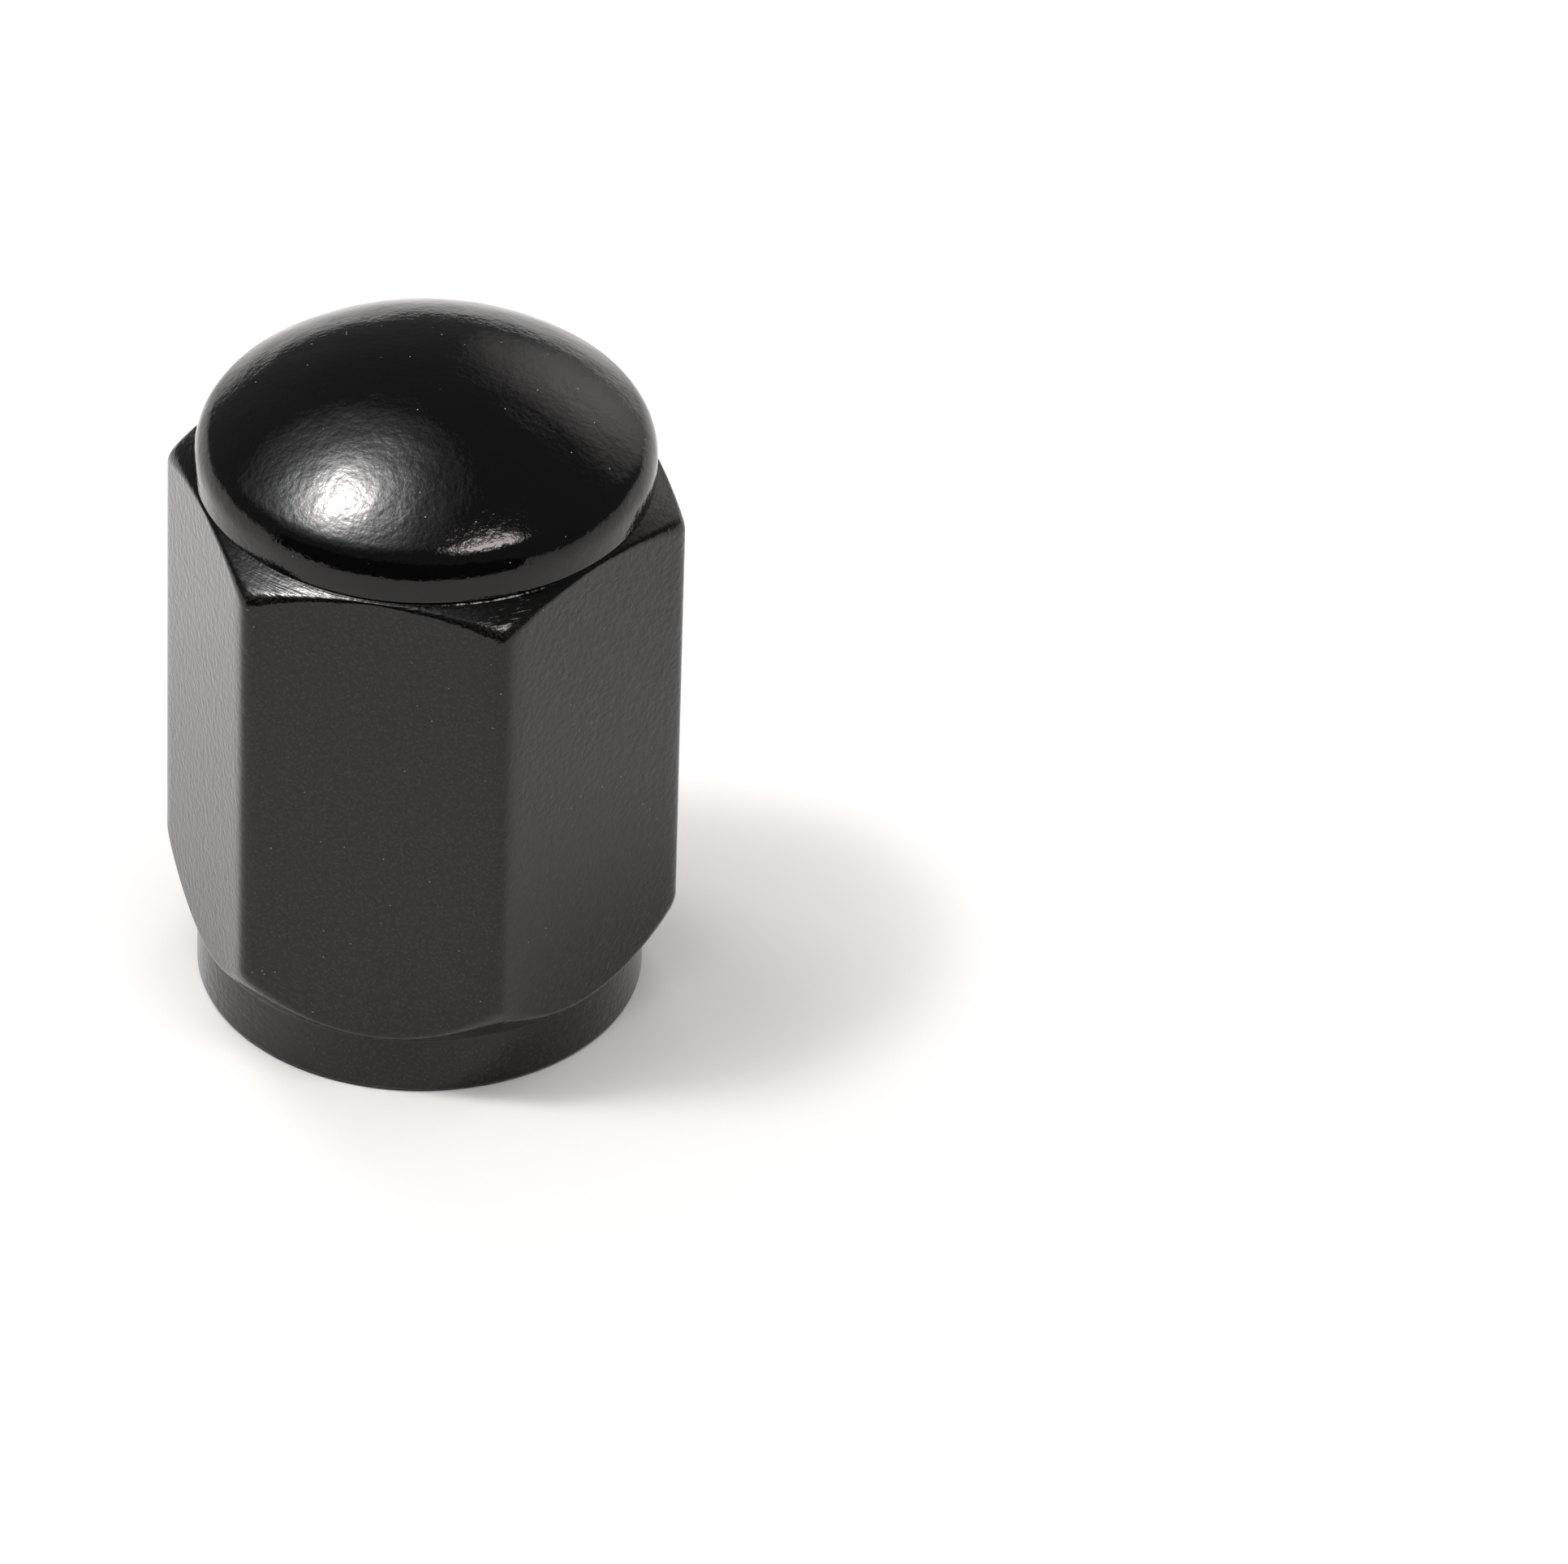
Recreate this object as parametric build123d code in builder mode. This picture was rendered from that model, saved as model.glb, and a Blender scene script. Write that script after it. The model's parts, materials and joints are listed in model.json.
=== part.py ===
import os
from math import radians, sqrt, tan

from build123d import *

# Tyre valve cap, in millimetres. The cap stands on its open end at z = 0 with its axis along Z,
# and two of the six flats face along Y.

# Bore: its wall stands just outside the crests of the valve stem's thread, and a wider relief
# at the blind end holds the washer.
thread_diameter = 7.75
thread_clearance = 0.05
thread_depth = 8.5
mouth_chamfer = 0.3
relief_step = 0.25

# Collar: the plain ring at the open end.
collar_wall = 0.97
collar_height = 1.43
collar_edge_radius = 0.12

# Hexagon: its flats stand a step outside the collar and end in a turned cone above and below.
flat_step = 0.105
corner_radius = 0.45
shoulder_height = 13.1
lower_cone_angle = 51.0
upper_cone_angle = 28.0
lower_tip_radius = 1.0
upper_tip_radius = 1.1
lower_scallop_radius = 0.1
upper_scallop_radius = 0.05

# Head: a narrow groove, a short upright rim and a low spherical crown.
head_step = 0.02
shoulder_land = 0.02
groove_width = 0.08
groove_depth = 0.3
rim_height = 0.9
rim_radius = 1.0
crown_radius = 7.23

# Rubber washer that seals on the end of the valve stem.
washer_thickness = 1.5
washer_hole_diameter = 3.6
washer_clearance = 0.1
washer_play = 0.1

# Radii from the bore outwards.
bore_radius = thread_diameter / 2 + thread_clearance
relief_radius = bore_radius + relief_step
washer_radius = relief_radius - washer_clearance
collar_radius = bore_radius + collar_wall
flat_distance = collar_radius + flat_step
bar_radius = flat_distance * 2 / sqrt(3)
head_radius = flat_distance - head_step
shoulder_radius = head_radius - shoulder_land
groove_radius = head_radius - groove_depth

# Heights from the open end upwards.
lower_cone_top = collar_height + (bar_radius - collar_radius) * tan(radians(lower_cone_angle))
upper_cone_foot = shoulder_height - (bar_radius - shoulder_radius) * tan(radians(upper_cone_angle))
hexagon_middle = (lower_cone_top + upper_cone_foot) / 2
lip_height = shoulder_height + groove_width
rim_top = lip_height + rim_height
crown_top = rim_top + crown_radius - sqrt(crown_radius**2 - head_radius**2)
washer_foot = thread_depth + washer_play
bore_end = washer_foot + washer_thickness

os.makedirs("parts", exist_ok=True)

# The cap is turned from a length of hexagon bar with softly rounded corners.
with BuildPart() as cap_body:
    with BuildSketch():
        RegularPolygon(radius=flat_distance, side_count=6, major_radius=False)
        fillet(vertices(), corner_radius)
    extrude(amount=crown_top)

    # Turned outline of the collar, both cones, the groove and the domed head.
    with BuildSketch(Plane.XZ):
        with BuildLine():
            Polyline(
                (0, crown_top),
                (0, 0),
                (collar_radius, 0),
                (collar_radius, collar_height),
                (bar_radius, lower_cone_top),
                (bar_radius, upper_cone_foot),
                (shoulder_radius, shoulder_height),
                (groove_radius, shoulder_height),
                (groove_radius, lip_height),
                (head_radius, lip_height),
                (head_radius, rim_top),
            )
            RadiusArc((head_radius, rim_top), (0, crown_top), -crown_radius)
        make_face()
        rounded_corners = (
            ((collar_radius, 0), collar_edge_radius),
            ((bar_radius, lower_cone_top), lower_tip_radius),
            ((bar_radius, upper_cone_foot), upper_tip_radius),
            ((head_radius, rim_top), rim_radius),
        )
        for corner, radius in rounded_corners:
            fillet(vertices().sort_by_distance(corner)[0], radius)
    revolve(axis=Axis.Z, mode=Mode.INTERSECT)

    # The cones cut the flats in scallops, whose edges are neither straight nor round.
    plain_edges = (GeomType.LINE, GeomType.CIRCLE)
    scallops = edges().filter_by(lambda edge: edge.geom_type not in plain_edges)
    lower_scallops = scallops.filter_by_position(Axis.Z, 0, hexagon_middle)
    upper_scallops = scallops.filter_by_position(Axis.Z, hexagon_middle, crown_top)
    fillet(lower_scallops, lower_scallop_radius)
    fillet(upper_scallops, upper_scallop_radius)

    # Blind bore, drilled upwards from the open end, relieved at its end and chamfered at its mouth.
    with Locations(Plane.XY.rotated((180, 0, 0))):
        Hole(radius=bore_radius, depth=bore_end)
    with BuildSketch(Plane.XY.offset(thread_depth)):
        Circle(relief_radius)
    extrude(amount=bore_end - thread_depth, mode=Mode.SUBTRACT)
    mouth = edges().filter_by(GeomType.CIRCLE).group_by(Axis.Z)[0].sort_by(SortBy.RADIUS)[0]
    chamfer(mouth, mouth_chamfer)
cap_body.part.label = "cap_body"
export_step(cap_body.part, "parts/cap_body.step")

# The washer is punched from sheet rubber and lies flat against the blind end, caught in the relief.
with BuildPart() as sealing_washer:
    with BuildSketch(Plane.XY.offset(washer_foot)):
        Circle(washer_radius)
        Circle(washer_hole_diameter / 2, mode=Mode.SUBTRACT)
    extrude(amount=washer_thickness)
sealing_washer.part.label = "sealing_washer"
export_step(sealing_washer.part, "parts/sealing_washer.step")
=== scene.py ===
import json
from math import atan2, cos, log, pi, radians, sin, sqrt, tan

import bmesh
import bpy
from mathutils import Matrix, Vector


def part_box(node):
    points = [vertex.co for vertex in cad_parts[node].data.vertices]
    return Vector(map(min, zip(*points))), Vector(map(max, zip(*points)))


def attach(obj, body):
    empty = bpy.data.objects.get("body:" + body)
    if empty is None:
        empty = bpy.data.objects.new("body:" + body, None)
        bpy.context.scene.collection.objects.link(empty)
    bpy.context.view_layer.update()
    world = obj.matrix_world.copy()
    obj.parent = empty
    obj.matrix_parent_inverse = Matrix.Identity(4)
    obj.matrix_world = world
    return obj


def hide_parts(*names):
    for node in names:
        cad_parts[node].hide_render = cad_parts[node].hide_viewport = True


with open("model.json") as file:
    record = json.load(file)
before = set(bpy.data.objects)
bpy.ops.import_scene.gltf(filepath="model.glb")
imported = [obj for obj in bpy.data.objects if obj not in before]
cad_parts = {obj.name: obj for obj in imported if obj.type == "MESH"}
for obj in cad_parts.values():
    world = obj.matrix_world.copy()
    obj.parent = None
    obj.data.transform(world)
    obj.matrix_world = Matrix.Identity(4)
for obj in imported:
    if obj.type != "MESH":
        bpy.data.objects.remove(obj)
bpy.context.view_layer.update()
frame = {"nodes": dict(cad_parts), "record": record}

# The cap: one piece of aluminium, turned from hexagon bar with soft corners. Collar, cones, groove
# and domed head come off the lathe, the thread is cut inside, and black paint is sprayed over it.
# Its mesh is drawn in millimetres and brought to metres at the end.
mm = 0.001
cap_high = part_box("cap_body")[1]
cap_height = cap_high.z / mm

# Bore: open at the foot, with a relief at its blind end that leaves the washer a little room.
bore = next(mount for mount in frame["record"]["mounts"] if mount["name"] == "valve_thread")
washer_low, washer_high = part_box("sealing_washer")
washer_clearance = 0.1
washer_play = 0.1
bore_radius = bore["dims"]["r_mm"]
bore_end = washer_high.z / mm
relief_radius = washer_high.x / mm + washer_clearance
relief_foot = washer_low.z / mm - washer_play
mouth_chamfer = 0.3
mouth_rounding = 0.05

# Hexagon bar: its corners stop short of a sharp hexagon's, which says how soft they are.
flat_distance = cap_high.y / mm
corner_reach = cap_high.x / mm
bar_radius = flat_distance * 2 / sqrt(3)
corner_softness = log(2) / log(bar_radius / corner_reach)

# Collar and lower cones: the flats stand a step outside the collar and rise from it in scallops.
flat_step = 0.105
collar_radius = flat_distance - flat_step
collar_height = 1.43
collar_edge_radius = 0.12
root_radius = 0.15
lower_cone = radians(51)
lower_cone_top = collar_height + (bar_radius - collar_radius) * tan(lower_cone)
lower_scallop_rounding = 0.25
lower_corner_rounding = 1.0

# Upper cones: they end in a shoulder under the head, where the tool left a fine burr on the edge.
head_step = 0.02
shoulder_land = 0.02
head_radius = flat_distance - head_step
shoulder_radius = head_radius - shoulder_land
shoulder_height = 13.1
upper_cone = radians(25.5)
upper_cone_foot = shoulder_height - (bar_radius - shoulder_radius) * tan(upper_cone)
upper_scallop_rounding = 0.14
upper_corner_rounding = 0.5
burr_width = 0.055
burr_height = 0.048
burr_radius = 0.012
tip_radius = 0.4
hexagon_middle = (lower_cone_top + upper_cone_foot) / 2

# Head: a narrow groove under it, a short upright rim and a low spherical crown.
groove_depth = 0.3
groove_width = 0.08
groove_radius = head_radius - groove_depth
lip_height = shoulder_height + groove_width
lip_radius = 0.03
crown_radius = 7.23
crown_centre = cap_height - crown_radius
crown_steps = 24
rim_radius = 1.0
rim_centre_radius = head_radius - rim_radius
rim_centre = crown_centre + sqrt((crown_radius - rim_radius) ** 2 - rim_centre_radius**2)
rim_end = atan2(rim_centre - crown_centre, rim_centre_radius)
rim_steps = 14


def rounded(corners):
    """Points of an outline, each corner (radius, height) sharp, or turned with (rounding, steps) added."""
    points = []
    for before, corner, after in zip(corners, corners[1:], corners[2:]):
        tip = Vector(corner[:2])
        if len(corner) == 2:
            points.append(tip)
            continue
        rounding, steps = corner[2:]
        back = (Vector(before[:2]) - tip).normalized()
        ahead = (Vector(after[:2]) - tip).normalized()
        turn = pi - back.angle(ahead)
        start = tip + back * rounding * tan(turn / 2)
        centre = tip + (back + ahead).normalized() * rounding / cos(turn / 2)
        side = 1 if back.cross(ahead) < 0 else -1
        for step in range(steps + 1):
            spoke = start - centre
            spoke.rotate(Matrix.Rotation(side * turn * step / steps, 2))
            points.append(centre + spoke)
    return points


def draw(name, points):
    """A new mesh object with the line through points (radius, height), left selected in edit mode."""
    bpy.ops.object.select_all(action="DESELECT")
    bpy.ops.mesh.primitive_plane_add(size=1)
    bpy.context.object.name = name
    bpy.ops.object.mode_set(mode="EDIT")
    bpy.ops.mesh.merge(type="CENTER")
    bpy.ops.transform.translate(value=(points[0][0], 0, points[0][1]))
    for here, there in zip(points, points[1:]):
        step = (there[0] - here[0], 0, there[1] - here[1])
        bpy.ops.mesh.extrude_region_move(TRANSFORM_OT_translate={"value": step})
    bpy.ops.mesh.select_all(action="SELECT")
    return bpy.context.object


# Outline of the turned blank, from the bore's blind end round the open rim and up to the dome's apex.
# The first and the last corner only give a direction.
turned = rounded(
    [
        (-1, bore_end),
        (0, bore_end),
        (relief_radius, bore_end),
        (relief_radius, relief_foot),
        (bore_radius, relief_foot),
        (bore_radius, mouth_chamfer),
        (bore_radius + mouth_chamfer, 0, mouth_rounding, 6),
        (collar_radius, 0, collar_edge_radius, 10),
        (collar_radius, collar_height, root_radius, 5),
        (bar_radius, lower_cone_top, tip_radius, 10),
        (bar_radius, upper_cone_foot, tip_radius, 10),
        (shoulder_radius, shoulder_height),
        (shoulder_radius - burr_width, shoulder_height + burr_height, burr_radius, 6),
        (groove_radius, shoulder_height),
        (groove_radius, lip_height),
        (head_radius, lip_height, lip_radius, 9),
        (head_radius, rim_centre),
    ]
)
for step in range(rim_steps + 1):
    lean = rim_end * step / rim_steps
    turned.append((rim_centre_radius + rim_radius * cos(lean), rim_centre + rim_radius * sin(lean)))
for step in range(1, crown_steps + 1):
    lean = rim_end + (pi / 2 - rim_end) * step / crown_steps
    turned.append((crown_radius * cos(lean), crown_centre + crown_radius * sin(lean)))
cap = draw("cap", turned)

# One sixth of the blank is spun from corner to corner, with close steps round the soft corners.
corner_sweep = (radians(5), 12)
flat_sweep = (radians(50), 22)
for sweep, steps in (corner_sweep, flat_sweep, corner_sweep):
    bpy.ops.mesh.spin(steps=steps, angle=sweep, center=(0, 0, 0), axis=(0, 0, 1))


def reach(angle):
    """How far the soft-cornered hexagon reaches from the axis, the angle counted from a corner."""
    angle = (angle + pi / 6) % (pi / 3) - pi / 6
    both_flats = cos(pi / 6 - angle) ** corner_softness + cos(pi / 6 + angle) ** corner_softness
    return flat_distance / both_flats ** (1 / corner_softness)


# The flats: on each meridian the cones shrink towards their roots until the wall meets the hexagon,
# then the bend from cone to wall is opened to an even rounding that widens towards the corners.
axis_room = 1e-3
slack = 1e-5
merge_distance = 1e-4
largest_share = 0.9
lower_root = Vector((collar_radius, collar_height - root_radius * tan((pi / 2 - lower_cone) / 2)))
upper_root = Vector((shoulder_radius, shoulder_height))
lower_tip = Vector((bar_radius, lower_cone_top))
upper_tip = Vector((bar_radius, upper_cone_foot))
lower_roundings = (lower_scallop_rounding, lower_corner_rounding)
upper_roundings = (upper_scallop_rounding, upper_corner_rounding)
zones = (
    (lower_root, lower_tip, pi / 2 - lower_cone, lower_roundings, lower_root.y, hexagon_middle),
    (upper_root, upper_tip, pi / 2 - upper_cone, upper_roundings, hexagon_middle, upper_root.y),
)
blank = bmesh.from_edit_mesh(cap.data)
meridians = {}
for vertex in blank.verts:
    if vertex.co.xy.length > axis_room:
        meridians.setdefault(round(atan2(vertex.co.y, vertex.co.x), 4), []).append(vertex)
for meridian in meridians.values():
    angle = atan2(meridian[0].co.y, meridian[0].co.x)
    closeness = (reach(angle) - flat_distance) / (corner_reach - flat_distance)
    for root, tip, bend, (scallop_rounding, corner_rounding), foot, top in zones:
        outer = [
            vertex
            for vertex in meridian
            if foot - slack < vertex.co.z < top + slack and vertex.co.xy.length > root.x - slack
        ]
        bend_reach = tip_radius * tan(bend / 2) + merge_distance
        bent = [
            vertex
            for vertex in outer
            if (Vector((vertex.co.xy.length, vertex.co.z)) - tip).length < bend_reach
        ]
        shrink = (reach(angle) - root.x) / (bar_radius - root.x)
        edge = root + (tip - root) * shrink
        room = largest_share * (edge - root).length / tan(bend / 2)
        rounding = min(room, scallop_rounding + (corner_rounding - scallop_rounding) * closeness**2)
        spread = rounding / (tip_radius * shrink)
        for group, centre, scale in ((outer, root, shrink), (bent, edge, spread)):
            bpy.ops.mesh.select_all(action="DESELECT")
            for vertex in group:
                vertex.select = True
            pivot = (centre.x * cos(angle), centre.x * sin(angle), centre.y)
            bpy.ops.transform.resize(value=(scale, scale, scale), center_override=pivot)

# The finished sixth is copied round the axis.
bpy.ops.mesh.select_all(action="SELECT")
bpy.ops.mesh.spin(steps=5, dupli=True, angle=radians(300), center=(0, 0, 0), axis=(0, 0, 1))
bpy.ops.mesh.select_all(action="SELECT")
bpy.ops.mesh.remove_doubles(threshold=merge_distance)
bpy.ops.mesh.normals_make_consistent(inside=False)
bpy.ops.object.mode_set(mode="OBJECT")

# Thread ridge: its section, sunk a little into the wall, is carried up the bore as a helix and fades
# out at both ends.
pitch = 0.794
crest_radius = 3.5
crest_half_width = 0.05
ridge_half_width = 0.31
ridge_sink = 0.02
ridge_lead = 0.5
ridge_root = bore_radius + ridge_sink
ridge_start = mouth_chamfer + ridge_lead
ridge_turns = 9
ridge_steps = 48
fade_steps = 16
section = (
    (ridge_root, ridge_start - ridge_half_width),
    (crest_radius, ridge_start - crest_half_width),
    (crest_radius, ridge_start + crest_half_width),
    (ridge_root, ridge_start + ridge_half_width),
)
corner_count = len(section)
ridge = draw("thread ridge", section)
outline = bmesh.from_edit_mesh(ridge.data)
for vertex in outline.verts:
    vertex.select = vertex.co.x > bore_radius
bpy.ops.mesh.edge_face_add()
bpy.ops.object.mode_set(mode="OBJECT")
bpy.ops.object.modifier_add(type="SCREW")
helix = ridge.modifiers[-1]
helix.screw_offset = pitch
helix.iterations = ridge_turns
helix.steps = ridge_steps
helix.render_steps = ridge_steps
bpy.ops.object.modifier_apply(modifier=helix.name)
bpy.ops.object.mode_set(mode="EDIT")
coil = bmesh.from_edit_mesh(ridge.data)
coil.verts.ensure_lookup_table()
slices = [coil.verts[first : first + corner_count] for first in range(0, len(coil.verts), corner_count)]
for end in (slices[:fade_steps], slices[: -fade_steps - 1 : -1]):
    for step, corners in enumerate(end):
        bpy.ops.mesh.select_all(action="DESELECT")
        for vertex in corners:
            vertex.select = True
        middle = sum((vertex.co for vertex in corners), Vector()) / corner_count
        middle.xy *= ridge_root / middle.xy.length
        taper = (step + 0.5) / fade_steps
        bpy.ops.transform.resize(value=(taper, taper, taper), center_override=middle)
bpy.ops.mesh.select_all(action="SELECT")
bpy.ops.mesh.fill_holes(sides=corner_count)
bpy.ops.mesh.normals_make_consistent(inside=False)
bpy.ops.object.mode_set(mode="OBJECT")

# Cap and thread become one mesh, in metres, smooth across its roundings and crisp at its grooves.
crease_angle = radians(13)
cap.select_set(True)
bpy.context.view_layer.objects.active = cap
bpy.ops.object.join()
cap.scale = (mm, mm, mm)
bpy.ops.object.transform_apply(location=False, rotation=False, scale=True)
bpy.ops.object.shade_smooth_by_angle(angle=crease_angle)
bpy.ops.object.modifier_add(type="WEIGHTED_NORMAL")
cap.modifiers[-1].keep_sharp = True
bpy.ops.object.modifier_apply(modifier=cap.modifiers[-1].name)


def surface(name, **values):
    """A new material, its tree and its shader, with these values on the shader's own sockets."""
    material = bpy.data.materials.new(name)
    material.use_nodes = True
    shader = material.node_tree.nodes["Principled BSDF"]
    for socket, value in values.items():
        shader.inputs[socket.replace("_", " ")].default_value = value
    return material, material.node_tree, shader


def feed(tree, socket, source):
    """Joins an input to another node's output, or sets it to a plain value."""
    if isinstance(source, bpy.types.NodeSocket):
        tree.links.new(source, socket)
    else:
        socket.default_value = source


def add(tree, kind, **sources):
    """The outputs of a new node in a material's or world's tree, its inputs fed by name."""
    node = tree.nodes.new("ShaderNode" + kind)
    for name, source in sources.items():
        feed(tree, node.inputs[name.replace("_", " ")], source)
    return node.outputs


def reckon(tree, operation, *sources, clamp=False):
    """The result of a new Math node, its inputs fed in order."""
    node = tree.nodes.new("ShaderNodeMath")
    node.operation = operation
    node.use_clamp = clamp
    for socket, source in zip(node.inputs, sources):
        feed(tree, socket, source)
    return node.outputs["Value"]


def ramp(tree, source, start, end, low=0.0, high=1.0, easing="LINEAR"):
    """A value that goes from low to high while its source goes from start to end."""
    node = tree.nodes.new("ShaderNodeMapRange")
    node.interpolation_type = easing
    names = ("Value", "From Min", "From Max", "To Min", "To Max")
    for name, value in zip(names, (source, start, end, low, high)):
        feed(tree, node.inputs[name], value)
    return node.outputs["Result"]


# Black paint: glossy on the head, satin below it.
satin_roughness = 0.14
gloss_roughness = 0.08
gloss_tint = (1.0, 0.96, 0.945, 1)
change_reach = 0.1
change_foot = (shoulder_height - change_reach) * mm
change_top = (shoulder_height + change_reach) * mm
paint, tree, shader = surface("black paint", IOR=1.41, Specular_Tint=gloss_tint)
place = add(tree, "TexCoord")["Object"]
axes = add(tree, "SeparateXYZ", Vector=place)
gloss = ramp(tree, axes["Z"], change_foot, change_top, satin_roughness, gloss_roughness)
feed(tree, shader.inputs["Roughness"], gloss)

# Where its marks lie: on the head, on the upper cones, or on the flats and the collar.
cone_fade = 0.02 * mm
level = add(tree, "CombineXYZ", X=axes["X"], Y=axes["Y"])
distance = tree.nodes.new("ShaderNodeVectorMath")
distance.operation = "LENGTH"
feed(tree, distance.inputs[0], level["Vector"])
radius = distance.outputs["Value"]
cone_line = (shoulder_height + shoulder_radius * tan(upper_cone)) * mm
cone_height = reckon(tree, "MULTIPLY_ADD", radius, tan(upper_cone), axes["Z"])
near_cone = ramp(tree, cone_height, cone_line - 3 * cone_fade, cone_line - cone_fade)
below_shoulder = ramp(tree, axes["Z"], shoulder_height * mm, shoulder_height * mm - cone_fade)
below_head = ramp(tree, axes["Z"], change_top, change_foot)
on_head = ramp(tree, axes["Z"], change_foot, change_top)
on_cones = reckon(tree, "MULTIPLY", near_cone, below_shoulder)
on_flats = reckon(tree, "SUBTRACT", below_head, on_cones, clamp=True)

# Waves: long, shallow unevenness of the head, which bends what it mirrors.
wave_length = 1.1 * mm
wave_depth = 0.03 * mm
waves = add(tree, "TexNoise", Vector=place, Scale=1 / wave_length, Detail=1.0)
wave_bump = add(tree, "Bump", Strength=on_head, Distance=wave_depth, Height=waves["Fac"])

# Peel: fine wrinkles that break up the mirrored lamps on the head and roughen the flats.
peel_length = 0.16 * mm
peel_depth = 0.018 * mm
head_share = 0.5
flat_share = 1.0
peel = add(tree, "TexNoise", Vector=place, Scale=1 / peel_length, Detail=3.0, Roughness=0.55)
peel_share = ramp(tree, on_flats, 0.0, 1.0, head_share, flat_share)
peel_bump = add(
    tree,
    "Bump",
    Strength=peel_share,
    Distance=peel_depth,
    Height=peel["Fac"],
    Normal=wave_bump["Normal"],
)

# Pits: pinholes up to 0.09 mm wide and of uneven depth on the flats, where the paint drew back. Their
# radius is a share of their spacing.
pit_spacing = 0.28 * mm
pit_depth = 0.0105 * mm
pit_radius = 0.16
no_pit = 0.4
full_pit = 0.9
pits = add(tree, "TexVoronoi", Vector=place, Scale=1 / pit_spacing)
pit_wall = ramp(tree, pits["Distance"], 0.0, pit_radius, -1.0, 0.0, easing="SMOOTHSTEP")
pit_share = ramp(tree, pits["Color"], no_pit, full_pit)
pit_bump = add(
    tree,
    "Bump",
    Strength=on_flats,
    Distance=pit_depth,
    Height=reckon(tree, "MULTIPLY", pit_wall, pit_share),
    Normal=peel_bump["Normal"],
)

# Lathe marks: rings left by the tool on the upper cones, which the paint does not hide.
ring_width = 0.05 * mm
ring_depth = 0.014 * mm
ring_breaks = 6.0
way_round = reckon(tree, "ARCTAN2", axes["Y"], axes["X"])
ring_place = add(
    tree,
    "CombineXYZ",
    X=reckon(tree, "DIVIDE", radius, ring_width),
    Y=reckon(tree, "MULTIPLY", way_round, ring_breaks),
)
rings = add(tree, "TexNoise", Vector=ring_place["Vector"], Scale=1.0, Detail=2.0, Roughness=0.6)
ring_bump = add(
    tree,
    "Bump",
    Strength=on_cones,
    Distance=ring_depth,
    Height=rings["Fac"],
    Normal=pit_bump["Normal"],
)
feed(tree, shader.inputs["Normal"], ring_bump["Normal"])

# Grain and dust: the flats' black is mottled with a faint grey haze, and pale specks about 0.03 mm
# wide lie all over the paint. A speck's rim and middle are shares of the specks' spacing.
deep_black = (0.001, 0.001, 0.001, 1)
haze_grey = (0.018, 0.0174, 0.0168, 1)
dust_grey = (0.16, 0.155, 0.15, 1)
grain_length = 0.06 * mm
haze_start = 0.46
haze_full = 0.74
dust_spacing = 0.4 * mm
speck_rim = 0.045
speck_middle = 0.033
grain = add(tree, "TexNoise", Vector=place, Scale=1 / grain_length, Detail=3.0, Roughness=0.6)
mottle = ramp(tree, grain["Fac"], haze_start, haze_full)
haze = reckon(tree, "MULTIPLY", mottle, on_flats)
black = add(tree, "MixRGB", Fac=haze, Color1=deep_black, Color2=haze_grey)
dust = add(tree, "TexVoronoi", Vector=place, Scale=1 / dust_spacing)
speck = ramp(tree, dust["Distance"], speck_rim, speck_middle)
colour = add(tree, "MixRGB", Fac=speck, Color1=black["Color"], Color2=dust_grey)
feed(tree, shader.inputs["Base Color"], colour["Color"])

# Bare aluminium in the bore, darkened by the spray that drifted in at the mouth.
spray_black = (0.01, 0.01, 0.01, 1)
bare_grey = (0.45, 0.45, 0.46, 1)
drift_end = 3.0 * mm
bare, tree, shader = surface("bare aluminium", Metallic=1.0, Roughness=0.35)
axes = add(tree, "SeparateXYZ", Vector=add(tree, "TexCoord")["Object"])
drift = ramp(tree, axes["Z"], mouth_chamfer * mm, drift_end)
tone = add(tree, "MixRGB", Fac=drift, Color1=spray_black, Color2=bare_grey)
feed(tree, shader.inputs["Base Color"], tone["Color"])

edge_margin = 0.01
cap.data.materials.append(paint)
cap.data.materials.append(bare)
for face in cap.data.polygons:
    inside = face.center.xy.length < (relief_radius + edge_margin) * mm
    if inside and mouth_chamfer * mm < face.center.z < (bore_end + edge_margin) * mm:
        face.material_index = 1
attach(cap, "root")
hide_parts("cap_body")

# The washer: a ring punched from sheet rubber, pressed past the thread into the relief at the
# blind end, where it seals on the end of the valve stem.
washer = frame["nodes"]["sealing_washer"]
rubber_black = (0.03, 0.03, 0.03, 1)
talc_length = 0.1 * mm
talc_depth = 0.01 * mm
rubber, tree, shader = surface("sheet rubber", Base_Color=rubber_black, Roughness=0.7)
place = add(tree, "TexCoord")["Object"]
talc = add(tree, "TexNoise", Vector=place, Scale=1 / talc_length, Detail=3.0)
talc_bump = add(tree, "Bump", Strength=0.5, Distance=talc_depth, Height=talc["Fac"])
feed(tree, shader.inputs["Normal"], talc_bump["Normal"])
washer.data.materials.clear()
washer.data.materials.append(rubber)

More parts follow.
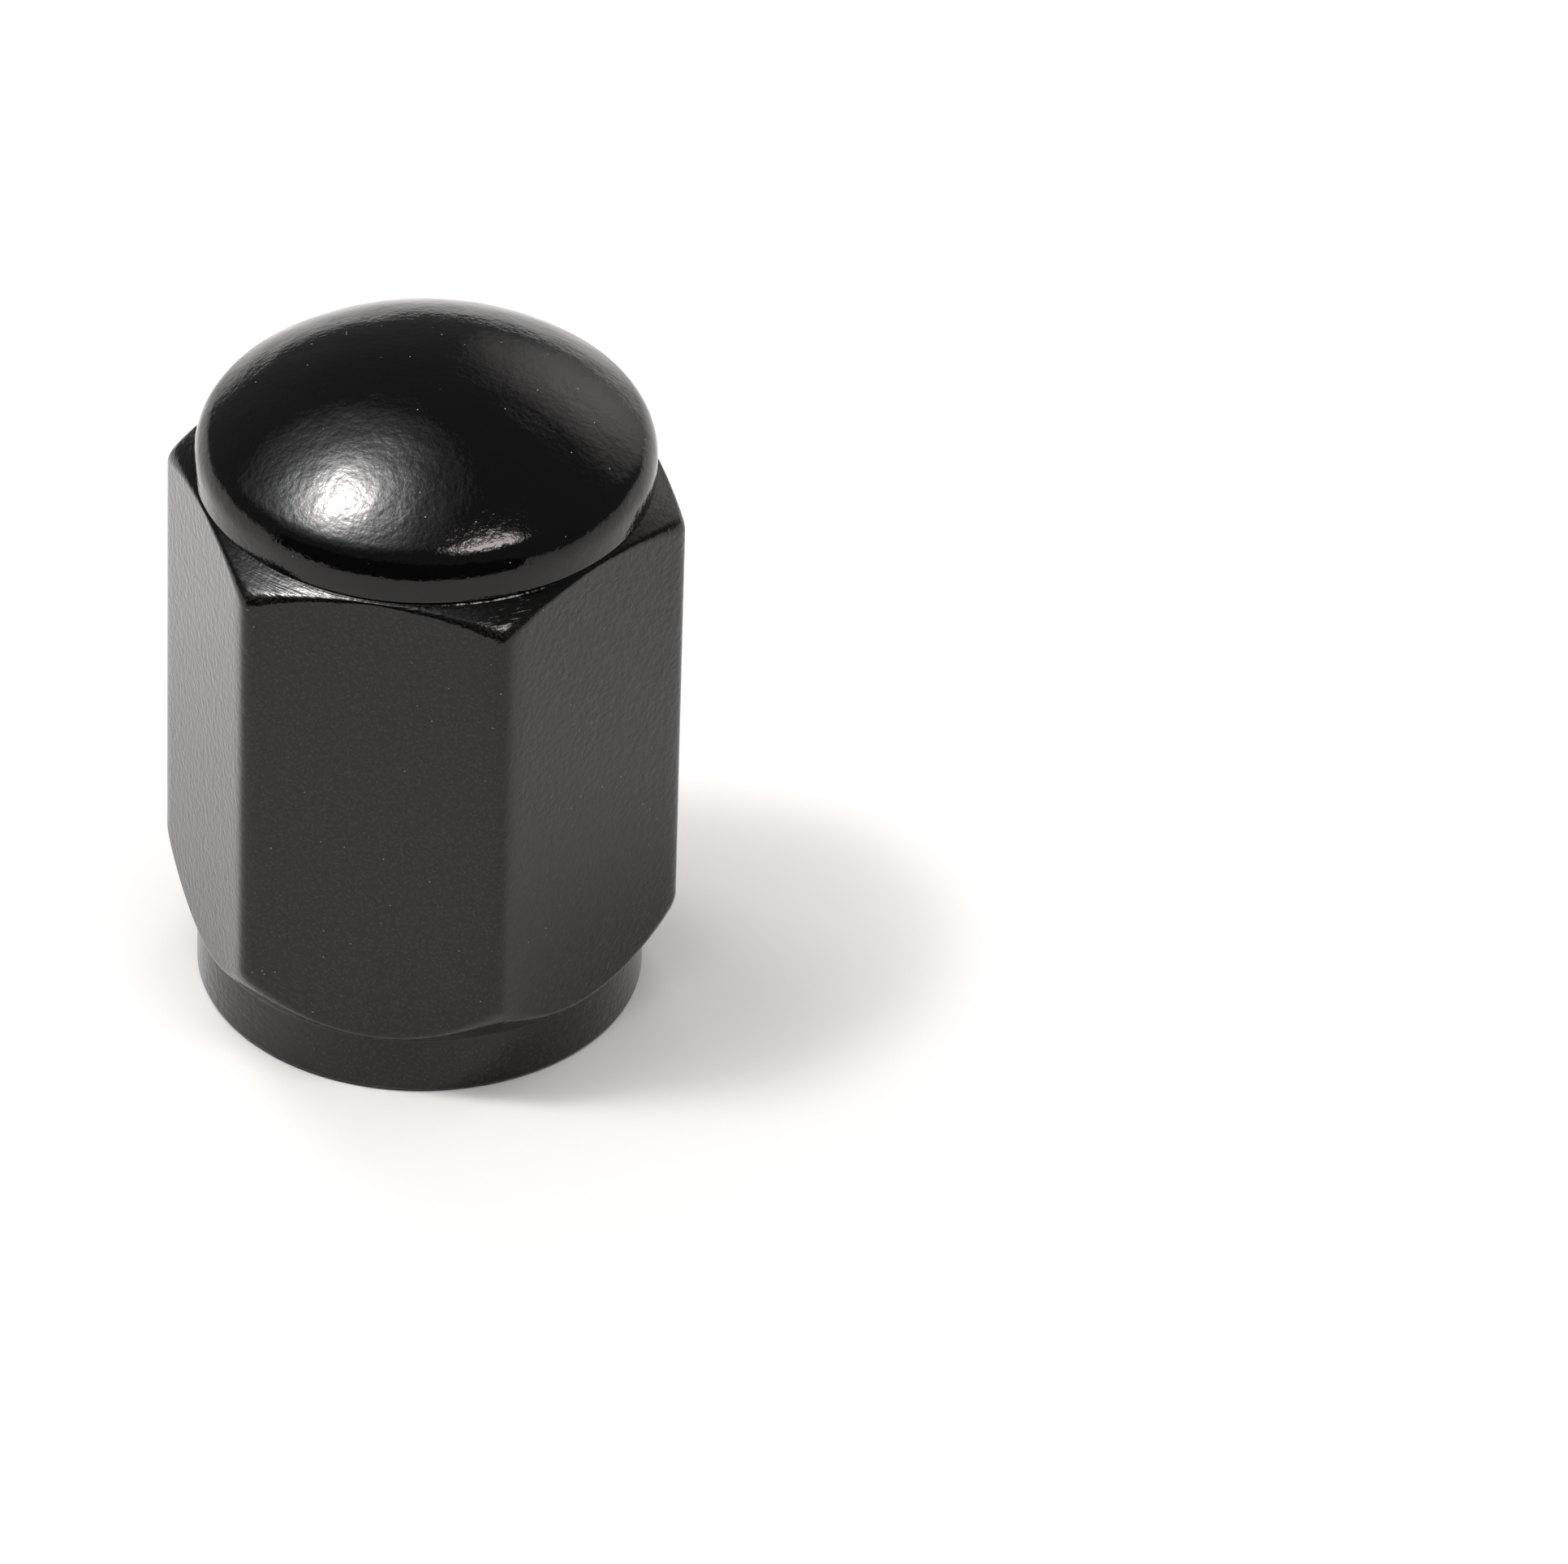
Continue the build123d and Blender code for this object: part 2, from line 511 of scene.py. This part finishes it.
# The floor: a sheet of white paper, which fades into the white beyond it. It is only seen from
# above, and has a hole under the cap's collar, so that light from below reaches into the bore.
paper_white = (0.465, 0.465, 0.465, 1)
floor_radius = 0.6
hole_radius = (collar_radius - collar_edge_radius - edge_margin) * mm
bpy.ops.object.select_all(action="DESELECT")
bpy.ops.mesh.primitive_circle_add(vertices=96, radius=floor_radius)
floor = bpy.context.object
floor.name = "floor"
narrow = hole_radius / floor_radius
bpy.ops.object.mode_set(mode="EDIT")
bpy.ops.mesh.select_all(action="SELECT")
bpy.ops.mesh.extrude_edges_move()
bpy.ops.transform.resize(value=(narrow, narrow, narrow), center_override=(0, 0, 0))
bpy.ops.mesh.select_all(action="SELECT")
bpy.ops.mesh.normals_make_consistent(inside=False)
bpy.ops.object.mode_set(mode="OBJECT")
if floor.data.polygons[0].normal.z < 0:
    floor.data.flip_normals()
paper, tree, shader = surface("white paper", Base_Color=paper_white, Roughness=1.0, Specular_IOR_Level=0.0)
underside = add(tree, "NewGeometry")["Backfacing"]
one_sided = tree.nodes.new("ShaderNodeMixShader")
sources = (underside, shader.outputs["BSDF"], add(tree, "BsdfTransparent")["BSDF"])
for socket, source in zip(one_sided.inputs, sources):
    feed(tree, socket, source)
feed(tree, tree.nodes["Material Output"].inputs["Surface"], one_sided.outputs["Shader"])
floor.data.materials.append(paper)

# Dark card: it stands on the paper in front, out of the picture, so that the head mirrors white paper
# only near its foot.
card_black = (0.03, 0.03, 0.03, 1)
card_width = 0.14
card_height = 0.03
card_place = (0, -0.042, card_height / 2)
bpy.ops.object.select_all(action="DESELECT")
bpy.ops.mesh.primitive_plane_add(size=1, location=card_place, rotation=(pi / 2, 0, 0))
card = bpy.context.object
card.name = "dark card"
card.scale = (card_width, card_height, 1)
bpy.ops.object.transform_apply(location=True, rotation=True, scale=True)
card_stock = surface("dark card", Base_Color=card_black, Roughness=1.0, Specular_IOR_Level=0.0)[0]
card.data.materials.append(card_stock)
card.visible_camera = False
card.visible_diffuse = False
card.visible_shadow = False

# Studio light: a softbox with a hot middle at the left, an oval lamp at the right and a dim panel at the
# back, each of several discs that stand a little behind one another so that none hides the next. The key
# lamp, the ceiling and the near lamp light the paper and are not mirrored.
light_colour = (1.0, 0.965, 0.95)
glow_colour = (0.95, 1.0, 1.02)
lamp_distance = 0.6
disc_gap = 0.002
cap_middle = Vector((0, 0, cap_height / 2 * mm))


def lamp_disc(name, place, half_angle, radiance, distance=None, stretch=1.0):
    """A lamp that looks half_angle high from the cap, its place in degrees round from the front and up."""
    if distance is None:
        distance = lamp_distance + disc_gap * half_angle
    turn = radians(place[0])
    rise = radians(place[1])
    towards = Vector((sin(turn) * cos(rise), -cos(turn) * cos(rise), sin(rise)))
    height = 2 * distance * tan(radians(half_angle))
    bpy.ops.object.light_add(type="AREA", location=cap_middle + towards * distance)
    lamp = bpy.context.object
    lamp.name = name
    lamp.rotation_euler = towards.to_track_quat("Z", "Y").to_euler()
    lamp.data.shape = "ELLIPSE"
    lamp.data.size = height * stretch
    lamp.data.size_y = height
    lamp.data.energy = radiance * pi * height**2 * stretch
    lamp.data.color = light_colour
    lamp.visible_camera = False
    return lamp


# Each disc is given by its half angle and its radiance. The wide, weak ones of the softbox are only
# mirrored.
softbox_place = (-70, 63.5)
side_place = (51, 54)
panel_place = (157.5, 22)
panel_radiance = 0.145
glow = ((38, 0.22), (32, 0.32), (27, 0.54), (23, 0.88), (19, 1.75), (16, 2.4))
core = ((13, 3.0), (10.5, 4), (8.5, 5), (6, 10), (4, 32))
for half_angle, radiance in glow:
    lamp = lamp_disc("softbox", softbox_place, half_angle, radiance)
    lamp.visible_diffuse = False
    lamp.data.color = glow_colour
for half_angle, radiance in core:
    lamp_disc("softbox", softbox_place, half_angle, radiance)
for half_angle, radiance in ((10, 2.0), (6.5, 9)):
    lamp_disc("side lamp", side_place, half_angle, radiance, stretch=1.7)
for half_angle in (26, 22, 18, 14, 10, 6):
    lamp_disc("back panel", panel_place, half_angle, panel_radiance)

# The lamps that are not mirrored, with their half angle, radiance and distance.
unmirrored = (
    ("key lamp", softbox_place, 5, 14, 0.58),
    ("ceiling", (0, 90), 40, 2.0, 0.5),
    ("near lamp", (-130, 24), 15, 7.5, 0.038),
)
for name, lamp_place, half_angle, radiance, distance in unmirrored:
    lamp = lamp_disc(name, lamp_place, half_angle, radiance, distance)
    lamp.visible_glossy = False

# The room: white where the camera sees it and below the horizon, dim grey above it.
room_white = 1.0
room_grey = 0.15
horizon_top = 0.02
world = bpy.data.worlds.new("studio")
bpy.context.scene.world = world
world.use_nodes = True
tree = world.node_tree
axes = add(tree, "SeparateXYZ", Vector=add(tree, "TexCoord")["Generated"])
horizon = ramp(tree, axes["Z"], 0.0, horizon_top, room_white, room_grey)
seen = add(tree, "LightPath")["Is Camera Ray"]
backdrop = reckon(tree, "MAXIMUM", horizon, seen)
feed(tree, tree.nodes["Background"].inputs["Color"], backdrop)
bpy.context.scene.view_settings.view_transform = "Standard"

# The camera: it looks down on the cap from the photograph's angle, through a long lens, and stands
# back from a point beside the cap.
camera_azimuth = radians(10.382)
camera_elevation = radians(36.546)
camera_roll = radians(1.819)
camera_distance = 0.31895
camera_target = Vector((7.751, 1.548, 5.0)) * mm
bpy.ops.object.camera_add()
camera = bpy.context.object
tilt = Matrix.Rotation(pi / 2 - camera_elevation, 4, "X") @ Matrix.Rotation(camera_roll, 4, "Z")
swing = Matrix.Rotation(camera_azimuth, 4, "Z") @ tilt
step_back = Matrix.Translation((0, 0, camera_distance))
camera.matrix_world = Matrix.Translation(camera_target) @ swing @ step_back
camera.data.sensor_width = 36
camera.data.lens = 335.4
camera.data.clip_start = 0.01
camera.data.clip_end = 10
bpy.context.scene.camera = camera
